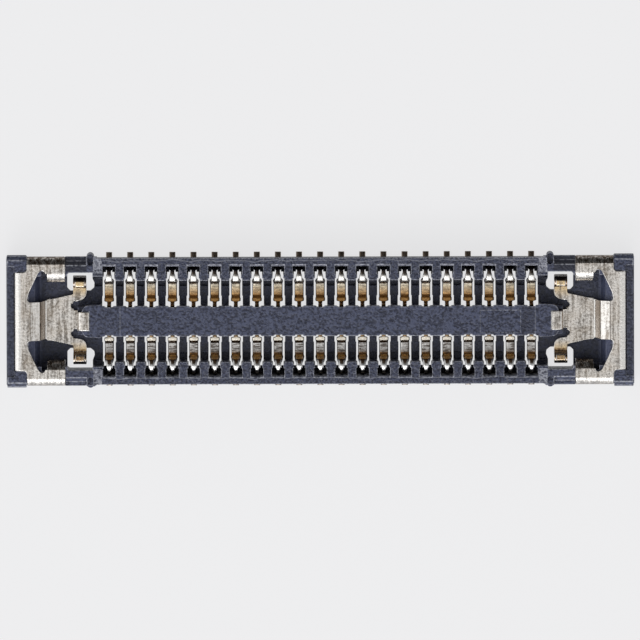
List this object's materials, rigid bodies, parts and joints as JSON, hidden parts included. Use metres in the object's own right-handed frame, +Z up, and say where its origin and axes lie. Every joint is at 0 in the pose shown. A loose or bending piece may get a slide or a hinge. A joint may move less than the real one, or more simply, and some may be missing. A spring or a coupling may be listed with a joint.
{
  "type": "fpc connector",
  "caption": "Low board-to-board receptacle for a flexible circuit: two rows of bent spring contacts in a moulded housing with a centre island, and a formed metal fitting over each end.",
  "frame": {"origin": "middle of the underside, on the board's surface", "axes": "+X along the rows of contacts, +Y across them, +Z up from the board towards the mating side"},
  "size_m": [0.0104, 0.0022, 0.0006],
  "materials": {
    "housing": "matte moulded, dark blue-grey",
    "fitting": "satin nickel plate, mottled",
    "contact": "gold plate over nickel"
  },
  "bodies": {
    "root": {"housing": "housing", "end_fitting_left": "fitting", "end_fitting_right": "fitting", "contact_a01": "contact", "contact_a02": "contact", "contact_a03": "contact", "contact_a04": "contact", "contact_a05": "contact", "contact_a06": "contact", "contact_a07": "contact", "contact_a08": "contact", "contact_a09": "contact", "contact_a10": "contact", "contact_a11": "contact", "contact_a12": "contact", "contact_a13": "contact", "contact_a14": "contact", "contact_a15": "contact", "contact_a16": "contact", "contact_a17": "contact", "contact_a18": "contact", "contact_a19": "contact", "contact_a20": "contact", "contact_a21": "contact", "contact_b01": "contact", "contact_b02": "contact", "contact_b03": "contact", "contact_b04": "contact", "contact_b05": "contact", "contact_b06": "contact", "contact_b07": "contact", "contact_b08": "contact", "contact_b09": "contact", "contact_b10": "contact", "contact_b11": "contact", "contact_b12": "contact", "contact_b13": "contact", "contact_b14": "contact", "contact_b15": "contact", "contact_b16": "contact", "contact_b17": "contact", "contact_b18": "contact", "contact_b19": "contact", "contact_b20": "contact", "contact_b21": "contact"}
  },
  "joints": []
}
